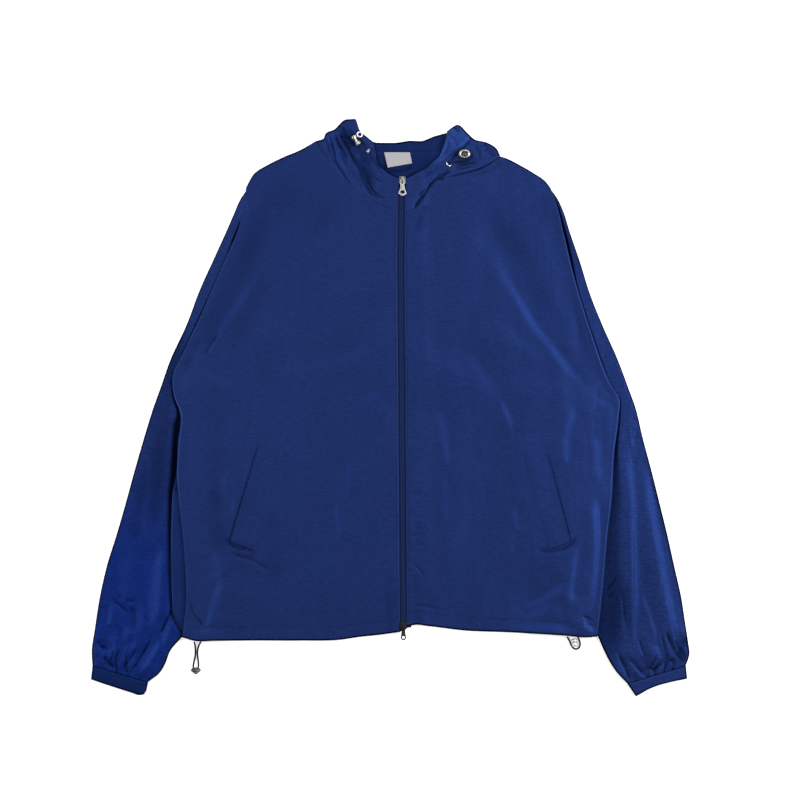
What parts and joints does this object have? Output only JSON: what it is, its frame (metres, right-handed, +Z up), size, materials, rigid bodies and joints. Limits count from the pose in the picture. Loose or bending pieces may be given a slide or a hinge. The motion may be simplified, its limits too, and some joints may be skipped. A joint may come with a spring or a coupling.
{
  "type": "windbreaker jacket",
  "caption": "Oversized hooded windbreaker laid flat on its back, with a two-way front zip, slanted welt pockets, elastic cuffs and drawcord locks at hood and hem.",
  "frame": {"origin": "on the surface the jacket lies on, under the middle of the back panel, on the line of the front zip", "axes": "+Z up from the surface through the back to the front, +Y towards the hood, +X across the jacket towards sleeve_right; left and right in the nodes' names are as seen from above, so sleeve_right is the wearer's left sleeve"},
  "size_m": [0.834, 0.8075, 0.0206],
  "materials": {
    "shell_cloth": "crisp royal navy nylon with a soft sheen",
    "label_cloth": "bare pale grey woven label",
    "zip_tape": "dark navy woven tape with coil teeth",
    "slider_metal": "polished silver plate",
    "slider_dark": "dark gun-metal enamel",
    "lock_brass": "pale antique brass, worn bright on its edges",
    "lock_steel": "grey nickel",
    "cord": "black braided elastic cord"
  },
  "bodies": {
    "jacket": {"back": "shell_cloth", "front_left": "shell_cloth", "front_right": "shell_cloth", "sleeve_left": "shell_cloth", "sleeve_right": "shell_cloth", "cuff_left": "shell_cloth", "cuff_right": "shell_cloth", "hood_left": "shell_cloth", "hood_right": "shell_cloth", "hood_bag": "shell_cloth", "pocket_welt_left": "shell_cloth", "pocket_welt_right": "shell_cloth", "neck_label": "label_cloth", "zip_tape_left": "zip_tape", "zip_tape_right": "zip_tape", "top_slider": "slider_metal", "bottom_slider": "slider_dark", "eyelet_left": "slider_metal", "eyelet_right": "slider_metal", "hood_lock_left": "lock_brass", "hood_lock_left_ring": "slider_metal", "hood_lock_right": "lock_brass", "hood_cord_left": "cord", "hood_cord_right": "cord", "hem_cord_left_a": "cord", "hem_cord_left_b": "cord", "hem_cord_right": "cord", "hem_lock_left": "lock_steel", "hem_lock_right": "lock_steel"},
    "top_pull": {"top_pull": "slider_metal"},
    "bottom_pull": {"bottom_pull": "slider_dark"}
  },
  "joints": [
    {"name": "top_pull_hinge", "type": "hinge", "parent": "jacket", "child": "top_pull", "pos_m": [0.00059, 0.317, 0.0132], "axis": [-1, 0, 0], "range_deg": [0, 150]},
    {"name": "bottom_pull_hinge", "type": "hinge", "parent": "jacket", "child": "bottom_pull", "pos_m": [0.00193, -0.305, 0.0076], "axis": [-1, 0, 0], "range_deg": [0, 150]}
  ]
}
